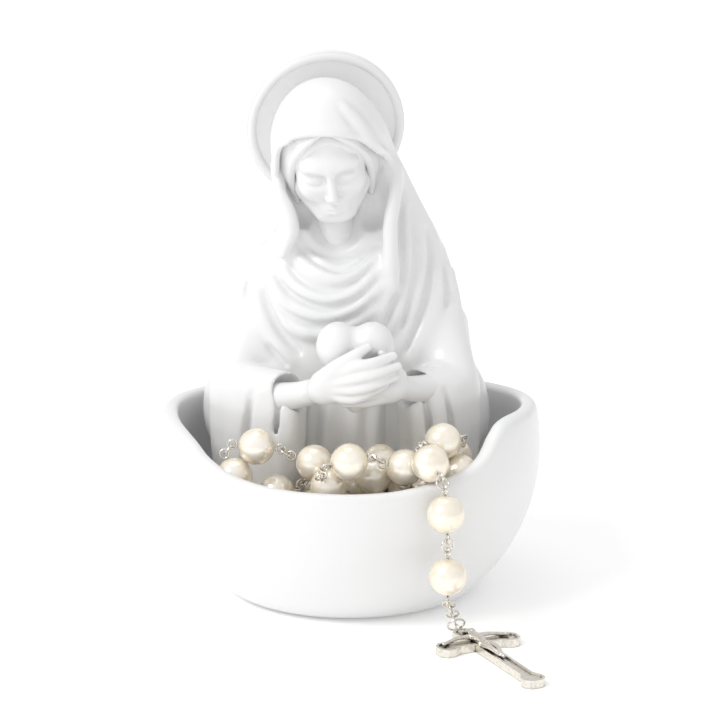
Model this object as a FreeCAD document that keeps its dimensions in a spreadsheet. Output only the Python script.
"""A glazed porcelain Madonna half figure standing in her own bowl, with a pearl rosary lying in the bowl.

Millimetres. +Z is up, the figure faces -Y, and the origin is the centre of the bowl's flat foot.
"""

import FreeCAD, Part

import math
import os

from FreeCAD import Matrix, Placement, Rotation, Vector

# ---------------------------------------------------------------- driving dimensions
SIZES = {
    # bowl
    "bowl_radius": 54.5,
    "bowl_wall": 4.5,
    "bowl_centre_height": 42.0,
    "bowl_floor": 9.0,
    "rim_dip_height": 41.0,
    "rim_dip_offset": 3.0,
    "rim_sweep_radius": 102.0,
    "rim_round": 1.7,
    "foot_round": 2.0,
    "vent_diameter": 9.0,
    "vent_offset": 18.0,
    # figure
    "figure_height": 106.0,
    "figure_width": 86.0,
    "casting_wall": 4.0,
    "veil_thickness": 2.4,
    "head_width": 24.0,
    "head_height": 35.0,
    "head_depth": 29.0,
    "head_bow": 28.0,
    "head_roll": 7.0,
    "heart_width": 20.0,
    "heart_height": 25.0,
    "heart_thickness": 11.4,
    "heart_tip_radius": 1.6,
    "finger_radius": 1.75,
    "forearm_radius": 3.9,
    "halo_radius": 22.7,
    "halo_thickness": 2.0,
    "halo_lip_radius": 1.4,
    "halo_lean": 18.0,
    "halo_turn": 9.0,
    # rosary
    "pearl_diameter": 10.0,
    "pearl_bore": 0.76,
    "wire_diameter": 0.6,
    "eye_radius": 1.2,
    "ring_radius": 1.7,
    "link_slack": 0.55,
    "heap_headroom": 4.5,
    "largest_bend": 48.0,
    "medal_width": 11.0,
    "medal_thickness": 2.0,
    "tail_bearing": 24.7,
    "cross_ring_radius": 2.4,
    "cross_length": 42.0,
    "cross_width": 24.0,
    "cross_bar": 3.6,
    "cross_thickness": 2.2,
    "cross_border": 0.7,
    "cross_recess": 0.5,
    "cross_yaw": 25.0,
    "drop_turn": 42.0,
}
PEARLS_IN_DECADE = 10
DECADES = 5
CLEAR = 0.1  # air left between loose pieces

doc = FreeCAD.newDocument("madonna")
sheet = doc.addObject("Spreadsheet::Sheet", "sizes")
for row, (alias, value) in enumerate(SIZES.items(), start=1):
    sheet.set(f"A{row}", alias)
    sheet.set(f"B{row}", str(value))
    sheet.setAlias(f"B{row}", alias)
doc.recompute()


def size(alias):
    """The value of a cell of the sheet."""
    return float(sheet.get(alias))


PARTS = {}  # node name -> document object


# ---------------------------------------------------------------- small helpers
def bound(kind, name, expressions, position=None, rotation=None):
    """A Part primitive whose sizes and place are bound to the sheet."""
    made = doc.addObject(kind, name)
    for prop, expression in expressions.items():
        made.setExpression(prop, expression)
    if rotation is not None:
        made.Placement = Placement(Vector(), rotation)
    for axis, expression in (position or {}).items():
        made.setExpression(f"Placement.Base.{axis}", expression)
    return made


def boolean(kind, name, base, tool):
    """A cut, fuse or common of two document objects."""
    made = doc.addObject(kind, name)
    made.Base = base
    made.Tool = tool
    return made


def shaped(name, shape, label=None):
    """A document object that holds a shape made with Part's own functions."""
    made = doc.addObject("Part::Feature", name)
    made.Shape = shape
    made.Label = label or name
    return made


def keep(node, made):
    """Names a document object as one sub-part."""
    made.Label = node
    PARTS[node] = made
    return made


def clean(shape):
    """The solids of a shape, without slivers that a cut left behind."""
    largest = max(s.Volume for s in shape.Solids)
    solids = [s for s in shape.Solids if s.Volume > 0.02 * largest]
    return solids[0] if len(solids) == 1 else Part.makeCompound(solids)


def less(shape, *others):
    """A shape with its neighbours' shapes taken out of it."""
    for other in others:
        shape = shape.cut(other)
    return clean(shape)


def ellipse_wire(centre, across, up, half_across, half_up):
    """A closed elliptical wire about a centre, given its two directions and half sizes."""
    if half_across >= half_up:
        major, minor, first, second = half_across, half_up, across, up
    else:
        major, minor, first, second = half_up, half_across, up, across
    curve = Part.Ellipse(centre + first * major, centre + second * minor, centre)
    return Part.Wire([curve.toShape()])


def column(sections):
    """A lofted solid through level ellipses, each (z, x, y, half width, half depth)."""
    wires = [
        ellipse_wire(Vector(x, y, z), Vector(1, 0, 0), Vector(0, 1, 0), half_x, half_y)
        for z, x, y, half_x, half_y in sections
    ]
    return Part.makeLoft(wires, True, False)


def ellipsoid(centre, radii, rotation=None):
    """An ellipsoid about a centre."""
    scale = Matrix()
    scale.scale(*radii)
    solid = Part.makeSphere(1.0).transformGeometry(scale)
    solid.Placement = Placement(centre, rotation or Rotation()).multiply(solid.Placement)
    return solid


def capsule(start, end, start_radius, end_radius):
    """A round-ended rod, as a finger or a forearm, whose sides touch both end balls smoothly."""
    way = end - start
    lean = (start_radius - end_radius) / way.Length
    narrow = math.sqrt(1.0 - lean * lean)
    first = start + way.normalize() * (start_radius * lean)
    last = end + way * (end_radius * lean)
    low, high = start_radius * narrow, end_radius * narrow
    if abs(low - high) < 1e-4:
        rod = Part.makeCylinder(low, (last - first).Length, first, way)
    else:
        rod = Part.makeCone(low, high, (last - first).Length, first, way)
    return rod.fuse(Part.makeSphere(start_radius, start)).fuse(Part.makeSphere(end_radius, end))


def frame_rotation(across, normal):
    """The rotation that carries X to across and Z to normal."""
    up = normal.normalize()
    side = (across - up * across.dot(up)).normalize()
    return Rotation(side, up.cross(side), up, "ZXY")


# ---------------------------------------------------------------- bowl
def make_bowl():
    """The bowl: a spherical shell with a flat foot and floor, its rim swept down at the front."""
    outer = bound(
        "Part::Sphere",
        "bowl_outside",
        {"Radius": "sizes.bowl_radius", "Angle1": "-asin(sizes.bowl_centre_height / sizes.bowl_radius)"},
        {"z": "sizes.bowl_centre_height"},
    )
    inner = bound(
        "Part::Sphere",
        "bowl_inside",
        {
            "Radius": "sizes.bowl_radius - sizes.bowl_wall",
            "Angle1": "-asin((sizes.bowl_centre_height - sizes.bowl_floor)"
            " / (sizes.bowl_radius - sizes.bowl_wall))",
        },
        {"z": "sizes.bowl_centre_height"},
    )
    shell = boolean("Part::Cut", "bowl_shell", outer, inner)
    sweep = bound(
        "Part::Cylinder",
        "rim_sweep",
        {"Radius": "sizes.rim_sweep_radius", "Height": "4 * sizes.bowl_radius"},
        {
            "x": "sizes.rim_dip_offset",
            "y": "2 * sizes.bowl_radius",
            "z": "sizes.rim_dip_height + sizes.rim_sweep_radius",
        },
        Rotation(Vector(1, 0, 0), 90),
    )
    swept = boolean("Part::Cut", "bowl_swept", shell, sweep)
    vent = bound(
        "Part::Cylinder",
        "vent",
        {"Radius": "sizes.vent_diameter / 2", "Height": "2 * sizes.bowl_floor"},
        {"y": "sizes.vent_offset", "z": "-sizes.bowl_floor / 2"},
    )
    vented = boolean("Part::Cut", "bowl_vented", swept, vent)
    doc.recompute()
    rim_round, foot_round = size("rim_round"), size("foot_round")
    foot_radius = math.sqrt(size("bowl_radius") ** 2 - size("bowl_centre_height") ** 2)
    edges = []
    for number, edge in enumerate(vented.Shape.Edges, start=1):
        box = edge.BoundBox
        if box.ZMin > size("rim_dip_height") - 1 and edge.Length > size("bowl_radius"):
            edges.append((number, rim_round, rim_round))
        if box.ZMax < 0.01 and abs(box.XLength / 2 - foot_radius) < 0.01:
            edges.append((number, foot_round, foot_round))
    rounded = doc.addObject("Part::Fillet", "bowl_rounded")
    rounded.Base = vented
    rounded.Edges = edges
    doc.recompute()
    return keep("bowl", rounded)


# ---------------------------------------------------------------- figure
def share(z_share):
    """A height on the figure, from the bowl's floor (0) to the nape (1)."""
    return size("bowl_floor") + z_share * (size("figure_height") - size("bowl_floor"))


def figure_sections(rows):
    """Ellipses for column(), from rows given as shares of the figure's height and half width."""
    half = size("figure_width") / 2
    return [(share(z), x * half, y * half, rx * half, ry * half) for z, x, y, rx, ry in rows]


GOWN = [
    (0.00, 0.00, 0.37, 0.58, 0.54),
    (0.40, -0.01, 0.30, 0.57, 0.51),
    (0.60, -0.03, 0.26, 0.55, 0.45),
    (0.75, -0.04, 0.24, 0.54, 0.39),
    (0.87, -0.05, 0.22, 0.44, 0.31),
    (0.95, -0.06, 0.19, 0.26, 0.21),
]
MANTLE = [
    (0.00, -0.02, 0.46, 0.68, 0.60),
    (0.24, -0.02, 0.49, 0.93, 0.65),
    (0.44, -0.03, 0.48, 1.00, 0.67),
    (0.54, -0.04, 0.43, 0.96, 0.63),
    (0.64, -0.05, 0.37, 0.88, 0.56),
    (0.74, -0.05, 0.32, 0.81, 0.49),
    (0.84, -0.06, 0.29, 0.71, 0.42),
    (0.92, -0.06, 0.27, 0.53, 0.34),
    (0.98, -0.07, 0.24, 0.34, 0.28),
]


def inset(sections, wall):
    """The same ellipses, a wall's thickness further in."""
    return [(z, x, y, rx - wall, ry - wall) for z, x, y, rx, ry in sections]


class Head:
    """The head's own frame: where its centre is, and which way it faces."""

    def __init__(self):
        bow, roll = size("head_bow"), size("head_roll")
        self.turn = Rotation(Vector(0, 1, 0), -roll).multiply(Rotation(Vector(1, 0, 0), bow))
        self.centre = Vector(-6.0, -3.0, share(1.0) + 0.57 * size("head_height"))
        self.half = Vector(size("head_width") / 2, size("head_depth") / 2, size("head_height") / 2)

    def at(self, x, y, z):
        """A point given in the head's half sizes: x to the figure's left, y back, z to the crown."""
        local = Vector(x * self.half.x, y * self.half.y, z * self.half.z)
        return self.centre + self.turn.multVec(local)

    def ball(self, grown, x=0.0, y=0.0, z=0.0):
        """An ellipsoid like the head, grown by so many millimetres."""
        radii = (self.half.x + grown, self.half.y + grown, self.half.z + grown)
        return ellipsoid(self.at(x, y, z), radii, self.turn)


def make_figure(bowl):
    """The porcelain castings of the figure, each cut to meet its neighbours face to face."""
    wall, veil = size("casting_wall"), size("veil_thickness")
    head_frame = Head()
    bowl_shape = bowl.Shape

    gown_sections = figure_sections(GOWN)
    gown_solid = column(gown_sections)
    hollow_sections = inset(gown_sections[:-1], wall)
    gown = less(gown_solid, column(hollow_sections), bowl_shape)

    neck_top = head_frame.at(0.0, 0.15, -0.55)
    neck_foot = Vector(gown_sections[-1][1], gown_sections[-1][2] - 1.0, gown_sections[-1][0] - 4.0)
    neck = capsule(neck_foot, neck_top, 6.2, 5.6)
    head_solid = head_frame.ball(0.0)
    jaw = ellipsoid(
        head_frame.at(0.0, -0.35, -0.52),
        (0.62 * head_frame.half.x, 0.5 * head_frame.half.y, 0.48 * head_frame.half.z),
        head_frame.turn,
    )
    nose = capsule(head_frame.at(0.0, -0.95, 0.0), head_frame.at(0.0, -1.08, -0.3), 1.2, 1.6)
    head_whole = head_solid.fuse(jaw).fuse(nose).fuse(neck)
    head = less(head_whole, gown_solid)

    # the hood is a shell round the head, open over the face, and falls to the shoulders
    hood_out = head_frame.ball(1.6 + veil, 0.0, 0.12, 0.02)
    hood_in = head_frame.ball(1.6, 0.0, 0.10, 0.02)
    fall_rows = [
        (1.26, -0.12, 0.02, 0.40, 0.33),
        (1.14, -0.09, 0.14, 0.42, 0.31),
        (1.04, -0.07, 0.20, 0.44, 0.30),
        (0.94, -0.06, 0.24, 0.50, 0.32),
        (0.86, -0.06, 0.25, 0.60, 0.34),
    ]
    fall_sections = figure_sections(fall_rows)
    fall = column(list(reversed(fall_sections)))
    fall_hollow = column(list(reversed(inset(fall_sections, veil))))
    window_way = head_frame.turn.multVec(Vector(0, -1, 0))
    window_centre = head_frame.at(0.0, 0.0, -0.12)
    window_wire = ellipse_wire(
        window_centre,
        head_frame.turn.multVec(Vector(1, 0, 0)),
        head_frame.turn.multVec(Vector(0, 0, 1)),
        head_frame.half.x * 0.98,
        head_frame.half.z * 0.95,
    )
    window = Part.Face(window_wire).extrude(window_way * 60)
    throat_foot = Vector(neck_foot.x, neck_foot.y, neck_foot.z + 10)
    throat = Part.makeCylinder(9.5, 60, throat_foot, Vector(0, -1, 0.05))
    mantle_solid = column(figure_sections(MANTLE))
    veil_solid = hood_out.fuse(fall)
    veil_shape = less(veil_solid, hood_in, fall_hollow, window, throat, mantle_solid, gown_solid, head)

    hair_solid = hood_in.cut(window).cut(head_whole)
    hair_front = Part.makeTorus(
        head_frame.half.x - 0.4,
        1.5,
        head_frame.at(0.0, -0.62, 0.16),
        head_frame.turn.multVec(Vector(0, 1, 0.25)),
    )
    hair = less(hair_solid.fuse(hair_front), head_whole, veil_shape, gown_solid, mantle_solid)
    hair = less(hair, veil_solid.cut(hood_in))

    # the mantle is open below the chest, where the gown shows between the sleeves
    opening = Part.makeBox(31, 60, 60, Vector(-15, -60, 0))
    mantle = less(mantle_solid, gown_solid, opening, bowl_shape, head_whole)

    collar_rows = [
        (0.70, -0.06, 0.10, 0.30, 0.28),
        (0.80, -0.06, 0.08, 0.40, 0.34),
        (0.90, -0.06, 0.04, 0.34, 0.30),
        (0.98, -0.06, 0.00, 0.20, 0.21),
    ]
    collar = column(figure_sections(collar_rows))
    collar = less(collar, gown_solid, mantle_solid, veil_solid, head_whole)

    return {
        "gown": gown,
        "mantle": mantle,
        "veil": veil_shape,
        "head": head,
        "hair": hair,
        "collar_drape": collar,
        "_gown_solid": gown_solid,
        "_mantle_solid": mantle_solid,
        "_veil_solid": veil_solid,
        "_head_whole": head_whole,
    }


def sleeve_loft(sections):
    """A sleeve: ellipses square to the forearm, each (x, y, z, half thickness, half drop)."""
    start, end = Vector(*sections[0][:3]), Vector(*sections[-1][:3])
    way = Vector(end.x - start.x, end.y - start.y, 0).normalize()
    across = Vector(0, 0, 1).cross(way)
    wires = [
        ellipse_wire(Vector(x, y, z), across, Vector(0, 0, 1), half_thick, half_drop)
        for x, y, z, half_thick, half_drop in sections
    ]
    return Part.makeLoft(wires, True, False)


RIGHT_SLEEVE = [
    (-34.0, 6.0, 58.0, 9.0, 14.0),
    (-26.5, -7.0, 56.0, 8.0, 13.0),
    (-17.5, -18.0, 54.0, 6.0, 12.0),
]
LEFT_SLEEVE = [
    (34.0, 6.0, 58.0, 9.0, 14.0),
    (27.5, -6.0, 57.0, 8.0, 13.0),
    (19.5, -16.5, 56.0, 6.0, 12.0),
]
HEART_CENTRE = Vector(1.5, -20.5, 69.0)
HAND_UNDERSIDE = 54.0


def make_heart():
    """The heart: two rounded lobes that run together down to the point."""
    lobe = size("heart_thickness") / 2
    half = size("heart_width") / 2 - lobe
    tip = size("heart_tip_radius")
    point = Vector(0, 0, tip - size("heart_height") / 2)
    lobes = [
        capsule(Vector(side * half, 0, size("heart_height") / 2 - lobe), point, lobe, tip) for side in (-1, 1)
    ]
    heart = shaped("heart_shape", clean(lobes[0].fuse(lobes[1])))
    heart.Placement = Placement(HEART_CENTRE, Rotation())
    doc.recompute()
    return keep("heart", heart)


def make_arms(figure, bowl, heart):
    """Both sleeves and both hands. The right hand covers the heart's lower half, the left is behind it."""
    finger, forearm = size("finger_radius"), size("forearm_radius")
    around = [figure["_mantle_solid"], figure["_gown_solid"], bowl.Shape]
    right_sleeve = less(sleeve_loft(RIGHT_SLEEVE), *around)
    left_sleeve = less(sleeve_loft(LEFT_SLEEVE), *around)

    front = HEART_CENTRE.y - size("heart_thickness") / 2
    wrist = Vector(-13.0, front + 2.2, 60.5)
    right = capsule(Vector(-21.0, front + 8.5, 58.5), wrist, forearm + 0.5, forearm)
    palm = ellipsoid(
        Vector(-4.5, front - 1.6, 64.8), (9.6, 3.3, 6.2), Rotation(Vector(0, 1, 0), -22)
    )
    right = right.fuse(palm)
    for step in range(4):
        drop = step * 2 * finger * 0.93
        knuckle = Vector(1.5, front - 2.0, 70.2 - drop)
        tip = Vector(11.0 - 0.9 * step, front + 0.2, 73.6 - drop)
        right = right.fuse(capsule(knuckle, tip, finger, finger * 0.9))
    right = right.fuse(capsule(Vector(-6.0, front - 1.0, 67.5), Vector(-1.5, front - 1.0, 75.0), 2.2, 1.8))

    back = HEART_CENTRE.y + size("heart_thickness") / 2
    left = capsule(Vector(23.0, -12.0, 62.0), Vector(14.0, -18.0, 64.0), forearm + 0.3, forearm)
    left = left.fuse(capsule(Vector(14.0, -18.0, 64.0), Vector(6.0, -18.5, 67.0), forearm, forearm - 0.6))
    for step in range(3):
        drop = step * 2 * finger * 0.95
        knuckle = Vector(6.0, back + 0.5, 70.0 - drop)
        left = left.fuse(capsule(knuckle, knuckle + Vector(-9.0, -0.5, 1.5), finger, finger * 0.9))

    others = [figure["_mantle_solid"], figure["_gown_solid"]]
    right_hand = less(right, heart.Shape, right_sleeve, *others)
    left_hand = less(left, heart.Shape, left_sleeve, right_hand, *others)
    return {
        "right_sleeve": right_sleeve,
        "left_sleeve": left_sleeve,
        "right_hand": right_hand,
        "left_hand": left_hand,
    }


def make_halo(figure):
    """The halo: a thin disc with a rolled lip, leaning forward with the bowed head."""
    disc = bound(
        "Part::Cylinder", "halo_disc", {"Radius": "sizes.halo_radius", "Height": "sizes.halo_thickness"}
    )
    lip = bound(
        "Part::Torus",
        "halo_lip",
        {"Radius1": "sizes.halo_radius - sizes.halo_lip_radius", "Radius2": "sizes.halo_lip_radius"},
        {"z": "sizes.halo_lip_radius"},
    )
    whole = boolean("Part::Fuse", "halo_whole", disc, lip)
    turn = Rotation(Vector(0, 0, 1), size("halo_turn")).multiply(
        Rotation(Vector(1, 0, 0), 90 + size("halo_lean"))
    )
    whole.Placement = Placement(Vector(-7.2, 17.0, 131.5), turn)
    neighbours = shaped("halo_seat", figure["_veil_solid"].fuse(figure["_mantle_solid"]))
    doc.recompute()
    return keep("halo", boolean("Part::Cut", "halo_cut", whole, neighbours))


# ---------------------------------------------------------------- rosary: the pieces
def joint_reach():
    """From a pearl's centre to the centre of either of its eyes."""
    return size("pearl_diameter") / 2 + size("eye_radius") + size("wire_diameter") / 2 + CLEAR


def eye_gap():
    """Between the centres of two eyes that one jump ring joins, with some slack left."""
    return 2 * (size("eye_radius") + size("ring_radius") - size("wire_diameter") - size("link_slack"))


def make_pearl_master():
    """One pearl: a ball with a bore, which every other pearl copies."""
    ball = bound("Part::Sphere", "pearl_ball", {"Radius": "sizes.pearl_diameter / 2"})
    bore = bound(
        "Part::Cylinder",
        "pearl_bore_tool",
        {"Radius": "sizes.pearl_bore / 2", "Height": "2 * sizes.pearl_diameter"},
        {"z": "-sizes.pearl_diameter"},
    )
    pearl = boolean("Part::Cut", "pearl_master", ball, bore)
    doc.recompute()
    return pearl


def make_ring_master():
    """One jump ring, which every other ring copies."""
    ring = bound(
        "Part::Torus", "ring_master", {"Radius1": "sizes.ring_radius", "Radius2": "sizes.wire_diameter / 2"}
    )
    doc.recompute()
    return ring


def closed_sketch(body, name, points):
    """A sketch of straight lines through points, on the body's level plane."""
    sketch = body.newObject("Sketcher::SketchObject", name)
    plane = next(f for f in body.Origin.OriginFeatures if f.Role == "XY_Plane")
    sketch.AttachmentSupport = [(plane, "")]
    sketch.MapMode = "FlatFace"
    for a, b in zip(points, points[1:] + points[:1]):
        sketch.addGeometry(Part.LineSegment(Vector(a.x, a.y, 0), Vector(b.x, b.y, 0)), False)
    return sketch


def placed(shape, centre, across, normal):
    """A copy of a shape, its X carried to across and its Z to normal."""
    copy = shape.copy()
    copy.Placement = Placement(centre, frame_rotation(across, Vector(normal)))
    return copy


def pearl_at(master, centre, way):
    """A pearl whose bore lies along a direction."""
    side = Vector(0, 0, 1) if abs(way.z) < 0.9 else Vector(1, 0, 0)
    return placed(master.Shape, centre, side, way)


def eyepin(centre, way, first_normal, second_normal):
    """A pin through a pearl with an eye at each end. A normal is square to its eye's plane."""
    wire = size("wire_diameter") / 2
    reach = joint_reach()
    half = reach - size("eye_radius")
    pin = Part.makeCylinder(wire, 2 * half, centre - way * half, way)
    first = Part.makeTorus(size("eye_radius"), wire, centre - way * reach, first_normal)
    second = Part.makeTorus(size("eye_radius"), wire, centre + way * reach, second_normal)
    return clean(pin.fuse(first).fuse(second))


# ---------------------------------------------------------------- rosary: how it lies in the bowl
class Heap:
    """The rosary in the bowl: pearls, eyes and rings are balls, pushed apart and let down until they rest.

    A pearl is two joint points, one at each eye, and its centre is half way between them.
    """

    def __init__(self):
        self.points = []  # joint points
        self.units = []  # tuples of joint points that are one rigid piece
        self.rings = []  # pairs of joint points that a jump ring joins
        self.fixed = set()
        self.pearl = size("pearl_diameter") / 2
        self.eye = size("eye_radius") + size("wire_diameter") / 2
        self.ring = size("ring_radius") + size("wire_diameter") / 2
        self.reach = joint_reach()
        self.gap = eye_gap()
        self.seed = 12345

    def noise(self):
        """A repeatable number from -1 to 1."""
        self.seed = (1103515245 * self.seed + 12345) % 2147483648
        return self.seed / 1073741824.0 - 1.0

    def add_point(self, place):
        """Adds a joint point, and gives its number."""
        self.points.append(list(place))
        return len(self.points) - 1

    def walls(self, place, radius):
        """The place pushed off the bowl and the figure, so that a ball of that radius is clear of them."""
        x, y, z = place
        radius += CLEAR
        height, inside = size("bowl_centre_height"), size("bowl_radius") - size("bowl_wall")
        z = max(z, size("bowl_floor") + radius)
        above = z - height
        far = math.sqrt(x * x + y * y + above * above)
        if far > inside - radius:
            if above < 0:
                keep_share = (inside - radius) / far
                z = height + above * keep_share
            else:
                keep_share = math.sqrt(((inside - radius) ** 2 - above**2) / (x * x + y * y))
            x, y = x * keep_share, y * keep_share
        half = size("figure_width") / 2
        for centre_x, centre_y, rx, ry, low_x, high_x in (
            (-0.01 * half, 0.32 * half, 0.585 * half, 0.545 * half, -99, 99),
            (-0.02 * half, 0.49 * half, 1.0 * half, 0.665 * half, None, None),
        ):
            if low_x is None and -15 + radius < x < 16 - radius:
                continue
            dx, dy = (x - centre_x) / (rx + radius), (y - centre_y) / (ry + radius)
            inside_share = math.sqrt(dx * dx + dy * dy)
            if inside_share < 1.0:
                y = centre_y - (ry + radius) * math.sqrt(max(0.0, 1.0 - dx * dx))
        roof = HAND_UNDERSIDE - size("heap_headroom") - radius
        if z > roof and y > HEART_CENTRE.y - size("heart_thickness") - radius and abs(x) < 24:
            z = roof
        for sections in (RIGHT_SLEEVE, LEFT_SLEEVE):
            (ax, ay, *_), (bx, by, bz, thick, drop) = sections[0], sections[-1]
            vx, vy = bx - ax, by - ay
            t = max(0.0, min(1.0, ((x - ax) * vx + (y - ay) * vy) / (vx * vx + vy * vy)))
            nx, ny = x - ax - t * vx, y - ay - t * vy
            near, away = math.hypot(nx, ny), sections[0][3] * (1 - t) + thick * t + radius
            under = bz - drop - size("heap_headroom") - radius
            if 1e-9 < near < away and z > under:
                if z - under < away - near:
                    z = under
                else:
                    x, y = x + nx / near * (away - near), y + ny / near * (away - near)
        return x, y, z

    def balls(self):
        """Every ball: (the joint points whose middle is its centre, its radius, the group it is in)."""
        made = []
        for unit in self.units:
            made.append((unit, self.pearl if len(unit) == 2 else size("medal_width") / 2 + 0.6))
        made += [((n,), self.eye) for n in range(len(self.points))]
        made += [(pair, self.ring) for pair in self.rings]
        return made

    def middle(self, members):
        """The middle of some joint points."""
        n = len(members)
        return [sum(self.points[m][k] for m in members) / n for k in range(3)]

    def shift(self, members, by):
        """Moves joint points together, apart from the fixed ones."""
        for m in members:
            if m not in self.fixed:
                point = self.points[m]
                point[0] += by[0]
                point[1] += by[1]
                point[2] += by[2]

    def space(self, first, second, least, most):
        """Moves two groups of joint points so that their middles are from least to most apart."""
        a, b = self.middle(first), self.middle(second)
        d = [b[k] - a[k] for k in range(3)]
        far = math.sqrt(d[0] ** 2 + d[1] ** 2 + d[2] ** 2) or 1e-9
        if least <= far <= most:
            return 0.0
        error = far - (least if far < least else most)
        scale = 0.5 * error / far
        first_free = any(m not in self.fixed for m in first)
        second_free = any(m not in self.fixed for m in second)
        if first_free != second_free:
            scale *= 2
        self.shift(first, [scale * x for x in d])
        self.shift(second, [-scale * x for x in d])
        return abs(error)

    def straighten(self, one, other):
        """Turns the link from one eye to the other back inside the largest bend that its piece allows."""
        unit = self.unit_of[one]
        centre, eye, far = self.middle(unit), self.points[one], self.points[other]
        way = [eye[k] - centre[k] for k in range(3)]
        link = [far[k] - eye[k] for k in range(3)]
        way_length, link_length = math.hypot(*way) or 1e-9, math.hypot(*link) or 1e-9
        way = [x / way_length for x in way]
        link = [x / link_length for x in link]
        straight = sum(w * x for w, x in zip(way, link))
        bend = math.radians(size("largest_bend") * (1.0 if len(unit) == 2 else 0.6))
        bend_cos, bend_sin = math.cos(bend), math.sin(bend)
        if straight >= bend_cos:
            return 0.0
        aside = [x - straight * w for w, x in zip(way, link)]
        length = math.hypot(*aside) or 1e-9
        error = [
            (bend_cos * w + bend_sin * x / length - y) * link_length
            for w, x, y in zip(way, aside, link)
        ]
        self.shift((other,), [0.16 * x for x in error])
        self.shift((one,), [-0.12 * x for x in error])
        self.shift([m for m in unit if m != one], [0.08 * x for x in error])
        return math.hypot(*error)

    def near_pairs(self, balls, reach):
        """The pairs of balls that may touch, apart from neighbours on the chain."""
        centres = [self.middle(members) for members, _ in balls]
        beside = {}
        for a, b in self.rings:
            beside.setdefault(a, set()).add(b)
            beside.setdefault(b, set()).add(a)
        unit_of = {m: unit for unit in self.units for m in unit}
        cells = {}
        for i, c in enumerate(centres):
            cells.setdefault(tuple(int(x // 14) for x in c), []).append(i)
        pairs = []
        for (cx, cy, cz), members in cells.items():
            around = [
                j
                for ox in (-1, 0, 1)
                for oy in (-1, 0, 1)
                for oz in (-1, 0, 1)
                for j in cells.get((cx + ox, cy + oy, cz + oz), ())
            ]
            for i in members:
                a, ra = balls[i]
                for j in around:
                    if j <= i:
                        continue
                    b, rb = balls[j]
                    limit = ra + rb + reach
                    ca, cb = centres[i], centres[j]
                    if (ca[0] - cb[0]) ** 2 + (ca[1] - cb[1]) ** 2 + (ca[2] - cb[2]) ** 2 > limit * limit:
                        continue
                    if set(a) & set(b):
                        continue
                    if any(q in beside.get(p, ()) for p in a for q in b) and len(a) + len(b) < 4:
                        continue
                    if (len(a) == 1 or len(b) == 1) and unit_of[a[0]] is unit_of[b[0]]:
                        continue
                    pairs.append((a, b, ra + rb + CLEAR))
        return pairs

    def step(self, balls, pairs, weight, straightening=True):
        """One round: let everything down by weight, then mend every distance. Gives the worst error."""
        worst = 0.0
        if weight:
            for n, point in enumerate(self.points):
                if n not in self.fixed:
                    point[2] -= weight
        for members, radius in balls:
            if self.fixed.issuperset(members):
                continue
            c = self.middle(members)
            w = self.walls(c, radius)
            by = [w[k] - c[k] for k in range(3)]
            self.shift(members, by)
            worst = max(worst, abs(by[0]), abs(by[1]), abs(by[2]))
        for a, b, least in pairs:
            worst = max(worst, self.space(a, b, least, 1e9))
        for a, b in self.rings:
            if straightening:
                worst = max(worst, self.straighten(a, b), self.straighten(b, a))
            worst = max(worst, self.space((a,), (b,), self.gap, self.gap))
        for unit in self.units:
            side = 2 * self.reach if len(unit) == 2 else self.arm(unit) * math.sqrt(3)
            for i in range(len(unit)):
                for j in range(i + 1, len(unit)):
                    worst = max(worst, self.space((unit[i],), (unit[j],), side, side))
        return worst

    def arm(self, unit):
        """From a piece's centre to each of its joint points."""
        return self.reach if len(unit) == 2 else size("medal_width") / 2 + size("eye_radius")

    def settle(self, rounds, weight):
        """Lets the heap down, easing the weight off towards the end."""
        self.unit_of = {m: unit for unit in self.units for m in unit}
        balls = self.balls()
        pairs = []
        for n in range(rounds):
            if n % 8 == 0:
                pairs = self.near_pairs(balls, 2.0)
            self.step(balls, pairs, weight * min(1.0, 2.0 * (rounds - n) / rounds))

    def mend(self, rounds):
        """Mends what still overlaps or is stretched, until nothing does."""
        balls = self.balls()
        for n in range(rounds):
            if n % 10 == 0:
                pairs = self.near_pairs(balls, 1.0)
            worst = self.step(balls, pairs, 0.0, straightening=n < 0.7 * rounds)
            if worst < 0.004:
                break
        print(f"heap: {len(self.units)} pieces, worst error {worst:.4f} mm after {n + 1} mending rounds")

    def pull(self, targets, rounds):
        """Draws the nearest pearls to chosen places, so that the heap's top lies as wanted."""
        chosen = []
        for target in targets:
            free = [u for u in self.units if len(u) == 2 and u not in chosen and not self.fixed & set(u)]
            chosen.append(min(free, key=lambda u: math.dist(self.middle(u), target)))
        balls = self.balls()
        for n in range(rounds):
            if n % 8 == 0:
                pairs = self.near_pairs(balls, 2.0)
            for unit, target in zip(chosen, targets):
                c = self.middle(unit)
                self.shift(unit, [0.3 * (target[k] - c[k]) for k in range(3)])
            self.step(balls, pairs, 0.01)


# the highest pearls of the heap, as they lie
TOP_PEARLS = [
    (-26.0, -35.5, 43.0),
    (-11.5, -43.0, 42.5),
    (2.8, -44.5, 42.5),
    (17.6, -40.8, 42.0),
    (-17.0, -35.5, 47.5),
    (-3.8, -36.5, 45.0),
    (11.0, -35.5, 46.8),
    (-9.7, -27.5, 43.9),
    (3.1, -27.5, 45.0),
]
FIFTH_PEARL = (36.5, -26.0, 45.5)


def radial(reach_out, height):
    """A point in the upright plane where the rosary hangs over the rim."""
    bearing = math.radians(size("tail_bearing"))
    return Vector(reach_out * math.sin(bearing), -reach_out * math.cos(bearing), height)


def slope(degrees_down):
    """A direction in that plane, so many degrees below the level and outwards."""
    down = math.radians(degrees_down)
    return radial(math.cos(down), 0) - Vector(0, 0, math.sin(down))


def rim_height(x):
    """The rim's height at a place across the bowl."""
    sweep = size("rim_sweep_radius")
    return size("rim_dip_height") + sweep - math.sqrt(sweep**2 - (x - size("rim_dip_offset")) ** 2)


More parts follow.
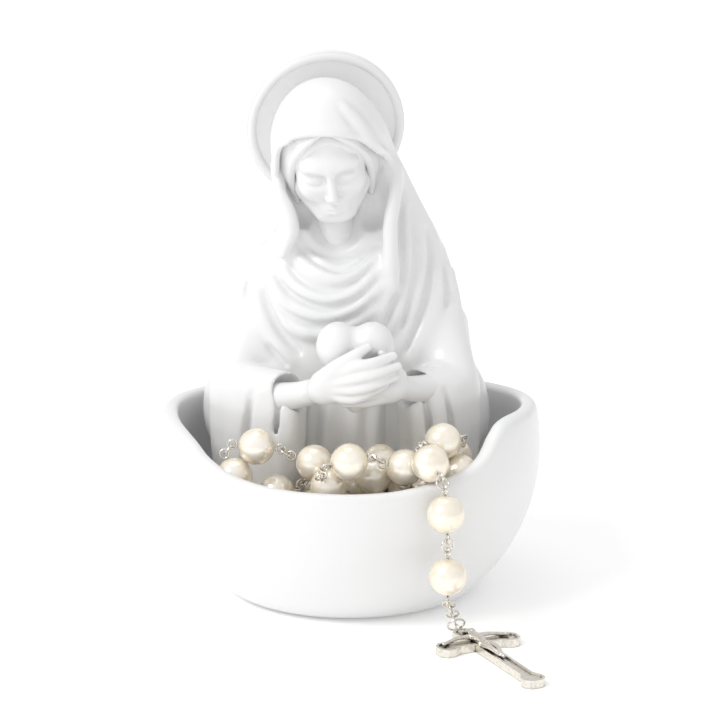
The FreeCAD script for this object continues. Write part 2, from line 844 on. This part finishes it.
class Tail:
    """The end that hangs over the rim: two pearls outside the bowl, and the crucifix on the floor."""

    def __init__(self):
        reach, gap = joint_reach(), eye_gap()
        pearl = size("pearl_diameter") / 2
        rim_out = size("bowl_radius") - size("bowl_wall") / 2 - 1.0
        over = radial(rim_out, 0)
        self.third = Vector(over.x, over.y, rim_height(over.x) + pearl + 2 * CLEAR)
        self.third_way = slope(20)
        self.third_out = self.third + self.third_way * reach
        # the fourth pearl lies beside the third, its pin turned along the rim
        self.fourth_way = Vector(math.cos(math.radians(33)), math.sin(math.radians(33)), 0.0)
        fourth_link = Rotation(Vector(0, 0, 1), -39).multVec(slope(10) * -1)
        self.fourth_in = self.third - self.third_way * reach + fourth_link * gap
        self.rim_way = slope(51)
        self.second_way = slope(82)
        second_top = self.third_out + self.rim_way * gap
        self.second = second_top + self.second_way * reach
        self.between_way = slope(86)
        self.first_way = slope(88)
        first_top = self.second + self.second_way * reach + self.between_way * gap
        self.first = first_top + self.first_way * reach
        self.first_out = self.first + self.first_way * reach

        # five rings drop from the first pearl's eye to the loop of the crucifix on the floor
        ring, big, wire = size("ring_radius"), size("cross_ring_radius"), size("wire_diameter")
        eye = size("eye_radius")
        small = 2 * ring - wire - 2 * CLEAR
        steps = [gap / 2, small, small, small, ring + big - wire - 2 * CLEAR, big + eye - wire - 2 * CLEAR]
        self.loop_height = eye + wire / 2 + CLEAR
        drop = self.first_out.z - self.loop_height
        run = math.sqrt(max(1.0, sum(steps) ** 2 - drop**2))
        inward = Rotation(Vector(0, 0, 1), -size("drop_turn")).multVec(radial(-1, 0))
        self.loop = self.first_out + inward * run - Vector(0, 0, drop)
        self.drop_way = (self.loop - self.first_out).normalize()
        stretch = (self.loop - self.first_out).Length / sum(steps)
        self.ring_centres = []
        travelled = 0.0
        for length in steps[:-1]:
            travelled += length * stretch
            self.ring_centres.append(self.first_out + self.drop_way * travelled)
        self.bend_axis = self.first_way.cross(self.drop_way).normalize()
        yaw = math.radians(size("cross_yaw"))
        self.stem = Vector(math.sin(yaw), -math.cos(yaw), 0)
        self.arm = Vector(math.cos(yaw), math.sin(yaw), 0)


def coil_path():
    """The line the loop of decades is first laid on: rows between the bowl's front and the gown."""
    height, pearl = size("bowl_centre_height"), size("pearl_diameter")
    inside = size("bowl_radius") - size("bowl_wall") - pearl / 2
    gown_front = 1.4 * pearl
    path = [(34, -16, 42), (34, -16, 30), (28, -16, 16)]
    rows = []
    for layer in range(5):
        z = size("bowl_floor") + 0.55 * pearl + 0.86 * pearl * layer
        front = math.sqrt(inside**2 - min(0.0, z - height) ** 2) - 0.5
        radii = [front - 1.06 * pearl * k for k in range(3)]
        if layer % 2:
            radii.reverse()
        rows += [(z, radius) for radius in radii if radius > gown_front + 3]
    for number, (z, radius) in enumerate(rows):
        widest = min(68.0, math.degrees(math.acos(gown_front / radius)))
        turn = 1 if number % 2 == 0 else -1
        for step in range(7):
            angle = math.radians(turn * widest * (1 - step / 3))
            path.append((radius * math.sin(angle), -radius * math.cos(angle), z))
    return path


def along(path, distance):
    """The point so far along a line of points."""
    for a, b in zip(path, path[1:]):
        length = math.dist(a, b)
        if distance <= length:
            part = distance / length
            return [a[k] + part * (b[k] - a[k]) for k in range(3)]
        distance -= length
    return list(path[-1])


def lay_heap(tail):
    """Lays the rosary in the bowl. Gives the heap, the pendant's pearls, the medal and the loop's pearls."""
    heap = Heap()
    reach = joint_reach()

    def unit_between(start, end):
        unit = (heap.add_point(start), heap.add_point(end))
        heap.units.append(unit)
        return unit

    third = unit_between(tail.third_out, tail.third - tail.third_way * reach)
    fourth = unit_between(tail.fourth_in, tail.fourth_in + tail.fourth_way * (2 * reach))
    heap.fixed = set(third + fourth)
    fifth = unit_between((33, -28, 48), (39, -20, 42))
    medal_arm = size("medal_width") / 2 + size("eye_radius")
    medal_centre = (36, -16, 36)
    medal = tuple(
        heap.add_point(
            (
                medal_centre[0] - 3 * math.sin(turn),
                medal_centre[1] + medal_arm * math.sin(turn),
                medal_centre[2] + medal_arm * math.cos(turn),
            )
        )
        for turn in (0.0, 2 * math.pi / 3, 4 * math.pi / 3)
    )
    heap.units.append(medal)
    path = coil_path()
    count = DECADES * PEARLS_IN_DECADE + DECADES - 1
    pitch = 2 * reach + eye_gap()
    loop = []
    for n in range(count):
        start = along(path, n * pitch)
        end = along(path, n * pitch + 2 * reach)
        start = [c + 0.6 * heap.noise() for c in start]
        end = [c + 0.6 * heap.noise() for c in end]
        loop.append(unit_between(start, end))
    heap.rings = [(third[1], fourth[0]), (fourth[1], fifth[0]), (fifth[1], medal[0])]
    heap.rings += [(medal[1], loop[0][0]), (loop[-1][1], medal[2])]
    heap.rings += [(a[1], b[0]) for a, b in zip(loop, loop[1:])]
    heap.settle(300, 0.15)
    heap.pull([FIFTH_PEARL] + TOP_PEARLS, 500)
    heap.mend(1200)
    return heap, (third, fourth, fifth), medal, loop


def ring_tangent(first_way, link_way, second_way, medal_normal=None):
    """Which way a jump ring's wire runs through both eyes: square to the link and, nearly, to both pins."""
    if medal_normal is not None:
        return (medal_normal - link_way * medal_normal.dot(link_way)).normalize()
    side = Vector(0, 0, 1).cross(link_way)
    side = side.normalize() if side.Length > 0.1 else Vector(1, 0, 0).cross(link_way).normalize()
    turned = [Rotation(link_way, 5 * step).multVec(side) for step in range(36)]
    return min(turned, key=lambda t: round(max(abs(t.dot(first_way)), abs(t.dot(second_way))), 9))


def eye_normal(way, tangent):
    """The normal of an eye: square to its pin, and along the ring's wire as near as can be."""
    return (tangent - way * tangent.dot(way)).normalize()


def make_heap(tail, pearl_master, ring_master):
    """All of the rosary that lies in the bowl."""
    heap, pendant, medal, loop = lay_heap(tail)
    at = [Vector(*p) for p in heap.points]
    medal_centre = (at[medal[0]] + at[medal[1]] + at[medal[2]]) * (1 / 3)
    medal_normal = (at[medal[1]] - at[medal[0]]).cross(at[medal[2]] - at[medal[0]]).normalize()
    way_of, centre_of = {}, {}
    for unit in heap.units:
        centre = medal_centre if len(unit) == 3 else (at[unit[0]] + at[unit[1]]) * 0.5
        for m in unit:
            centre_of[m] = centre
            way_of[m] = (at[m] - centre).normalize()
    eye_normals, rings = {}, []
    for a, b in heap.rings:
        link = (at[b] - at[a]).normalize()
        tangent = ring_tangent(way_of[a], link, way_of[b], medal_normal if {a, b} & set(medal) else None)
        rings.append(placed(ring_master.Shape, (at[a] + at[b]) * 0.5, link, link.cross(tangent)))
        for m in (a, b):
            eye_normals[m] = eye_normal(way_of[m], tangent)
    eye_normals[pendant[0][0]] = tail_tangent(tail)

    def pearls(units):
        return Part.makeCompound([pearl_at(pearl_master, centre_of[u[0]], way_of[u[1]]) for u in units])

    fathers = [loop[k] for k in range(PEARLS_IN_DECADE, len(loop), PEARLS_IN_DECADE + 1)]
    hails = [u for u in loop if u not in fathers]
    keep("decade_pearls", shaped("decade_pearls_shape", pearls(hails)))
    keep("father_pearls", shaped("father_pearls_shape", pearls(fathers)))
    keep("pendant_pearls", shaped("pendant_pearls_shape", pearls(pendant)))
    pins = [
        eyepin(centre_of[u[0]], way_of[u[1]], eye_normals[u[0]], eye_normals[u[1]])
        for u in list(pendant) + loop
    ]
    keep("heap_eye_pins", shaped("heap_eye_pins_shape", Part.makeCompound(pins)))
    keep("heap_jump_rings", shaped("heap_jump_rings_shape", Part.makeCompound(rings)))

    thick, wide = size("medal_thickness"), size("medal_width")
    disc = Part.makeCylinder(wide / 2, thick, medal_centre - medal_normal * (thick / 2), medal_normal)
    edges = [e for e in disc.Edges if e.Length > wide]
    disc = disc.makeFillet(0.25 * thick, edges)
    for m in medal:
        disc = disc.fuse(Part.makeTorus(size("eye_radius"), size("wire_diameter") / 2, at[m], medal_normal))
    keep("centre_medal", shaped("centre_medal_shape", clean(disc)))


def tail_tangent(tail):
    """The level direction square to the plane in which the rosary hangs."""
    return Vector(0, 0, 1).cross(radial(1, 0)).normalize()


def make_tail(tail, pearl_master, ring_master):
    """The two pearls outside the bowl, with their pins and rings, down to the crucifix's ring."""
    tangent = tail_tangent(tail)
    gap = eye_gap()
    rim_centre = tail.third_out + tail.rim_way * (gap / 2)
    between_centre = tail.second + tail.second_way * joint_reach() + tail.between_way * (gap / 2)
    for node, centre, way in (
        ("rim_ring", rim_centre, tail.rim_way),
        ("between_ring", between_centre, tail.between_way),
    ):
        keep(node, shaped(f"{node}_shape", placed(ring_master.Shape, centre, way, way.cross(tangent))))
    keep("second_pearl", shaped("second_pearl_shape", pearl_at(pearl_master, tail.second, tail.second_way)))
    keep("first_pearl", shaped("first_pearl_shape", pearl_at(pearl_master, tail.first, tail.first_way)))
    for node, centre, way, lower_normal in (
        ("second_eye_pin", tail.second, tail.second_way, tangent),
        ("first_eye_pin", tail.first, tail.first_way, tail.bend_axis),
    ):
        keep(node, shaped(f"{node}_shape", eyepin(centre, way, tangent, lower_normal)))
    # each ring stands square to the last, and together they twist round to the crucifix's loop
    side = tail.drop_way.cross(tail.bend_axis).normalize()
    across_arm = tail.drop_way.cross(tail.arm).normalize()
    twist = math.degrees(math.atan2(side.cross(across_arm).dot(tail.drop_way), side.dot(across_arm)))
    twist = (twist + 90) % 180 - 90
    shapes = []
    for number, centre in enumerate(tail.ring_centres):
        turned = twist * (number + 1) / (len(tail.ring_centres) + 1) + 90 * (number % 2)
        normal = Rotation(tail.drop_way, turned).multVec(side)
        if number < len(tail.ring_centres) - 1:
            shapes.append(placed(ring_master.Shape, centre, tail.drop_way, normal))
        else:
            ring = Part.makeTorus(size("cross_ring_radius"), size("wire_diameter") / 2, centre, normal)
            keep("crucifix_ring", shaped("crucifix_ring_shape", ring))
    keep("drop_rings", shaped("drop_rings_shape", Part.makeCompound(shapes)))


# ---------------------------------------------------------------- crucifix
def make_crucifix(tail):
    """The crucifix: flared arms with a raised border, a small generic figure and a blank scroll."""
    length, width, bar = size("cross_length"), size("cross_width"), size("cross_bar")
    thick, border = size("cross_thickness"), size("cross_border")
    head, arm = 0.25 * length, width / 2
    foot = length - head
    half, flare, cap = bar / 2, bar * 0.86, bar * 0.95

    def limb(reach):
        """One side of an arm of the cross: straight, then flared to its cap."""
        return [
            (half, half),
            (half, reach - 1.7 * cap),
            (flare, reach - cap),
            (flare, reach - 0.45 * cap),
            (0.45 * flare, reach),
        ]

    outline = []
    for reach, across, up in (
        (head, Vector(1, 0, 0), Vector(0, 1, 0)),
        (arm, Vector(0, 1, 0), Vector(-1, 0, 0)),
        (foot, Vector(-1, 0, 0), Vector(0, -1, 0)),
        (arm, Vector(0, -1, 0), Vector(1, 0, 0)),
    ):
        side = [across * a + up * b for a, b in limb(reach)]
        other = [across * -a + up * b for a, b in reversed(limb(reach))]
        outline += side + other[:-1]
    body = doc.addObject("PartDesign::Body", "cross_body")
    slab_sketch = closed_sketch(body, "cross_outline", outline)
    pad = body.newObject("PartDesign::Pad", "cross_pad")
    pad.Profile = slab_sketch
    pad.setExpression("Length", "sizes.cross_thickness")
    face = Part.Face(Part.makePolygon(outline + outline[:1]))
    inner = [v.Point for v in face.makeOffset2D(-border).OuterWire.OrderedVertexes]
    sunk_sketch = closed_sketch(body, "cross_sunk_outline", inner)
    sunk_sketch.setExpression("AttachmentOffset.Base.z", "sizes.cross_thickness")
    doc.recompute()
    pocket = body.newObject("PartDesign::Pocket", "cross_pocket")
    pocket.Profile = sunk_sketch
    pocket.setExpression("Length", "sizes.cross_recess")
    body.Tip = pocket
    doc.recompute()
    if pocket.Shape.Volume > pad.Shape.Volume - 1:
        raise RuntimeError("the cross's recess cuts nothing")
    loop = bound(
        "Part::Torus",
        "cross_loop",
        {"Radius1": "sizes.eye_radius", "Radius2": "sizes.wire_diameter / 2"},
        rotation=Rotation(Vector(0, 1, 0), 90),
    )
    loop.Placement.Base = Vector(0, head + size("eye_radius"), tail.loop_height)
    whole = boolean("Part::Fuse", "crucifix_cross_whole", body, loop)
    doc.recompute()
    cross = whole.Shape

    def v(x, y, z):
        """A point measured from the middle of the cross's top face."""
        return Vector(x, y, thick + z)

    corpus = capsule(v(0, 0.6, 0.2), v(0, -5.0, 0.1), 1.7, 1.3)
    corpus = corpus.fuse(Part.makeSphere(1.35, v(0.3, 3.2, 0.7)))
    corpus = corpus.fuse(capsule(v(0, -5.6, 0.2), v(0, -7.4, 0.2), 1.75, 1.6))
    for side in (-1, 1):
        corpus = corpus.fuse(capsule(v(1.3 * side, 0.9, 0.4), v(0.68 * arm * side, 2.0, 0.3), 0.75, 0.55))
    corpus = corpus.fuse(capsule(v(0, -7.8, 0.3), v(0, -13.0, 0.4), 1.3, 1.0))
    corpus = corpus.fuse(capsule(v(0, -13.0, 0.4), v(0, -18.6, 0.1), 1.0, 0.7))
    corpus = clean(corpus.cut(Part.makeBox(60, 60, 20, Vector(-30, -30, thick - 20))))
    scroll = Part.makeBox(4.0, 1.9, 0.8, v(-2.0, 5.7, 0.0))

    centre = tail.loop + tail.stem * (head + size("eye_radius"))
    turn = Rotation(tail.arm, tail.stem * -1, Vector(0, 0, 1), "XYZ")
    place = Placement(Vector(centre.x, centre.y, 0), turn)
    whole.Placement = place
    keep("crucifix_cross", whole)
    for node, shape in (("crucifix_corpus", corpus), ("crucifix_scroll", scroll)):
        made = shaped(f"{node}_shape", shape)
        made.Placement = place
        keep(node, made)


# ---------------------------------------------------------------- build and write
def main():
    """Makes every sub-part, checks the document and writes one STEP file per node."""
    bowl = make_bowl()
    figure = make_figure(bowl)
    heart = make_heart()
    arms = make_arms(figure, bowl, heart)
    figure.update(arms)
    for node, shape in figure.items():
        if not node.startswith("_"):
            keep(node, shaped(f"{node}_shape", shape))
    make_halo(figure)

    tail = Tail()
    pearl_master, ring_master = make_pearl_master(), make_ring_master()
    make_heap(tail, pearl_master, ring_master)
    make_tail(tail, pearl_master, ring_master)
    make_crucifix(tail)
    doc.recompute()

    for made in doc.Objects:
        if "Invalid" in made.State or "Error" in made.State:
            raise RuntimeError(f"{made.Name} did not compute: {made.State}")
    os.makedirs("parts", exist_ok=True)
    for node, made in PARTS.items():
        if made.Shape.isNull() or not made.Shape.isValid() or not made.Shape.Solids:
            raise RuntimeError(f"{node} has no valid solid")
        made.Shape.exportStep(f"parts/{node}.step")
    print(f"{len(PARTS)} sub-parts written")


main()
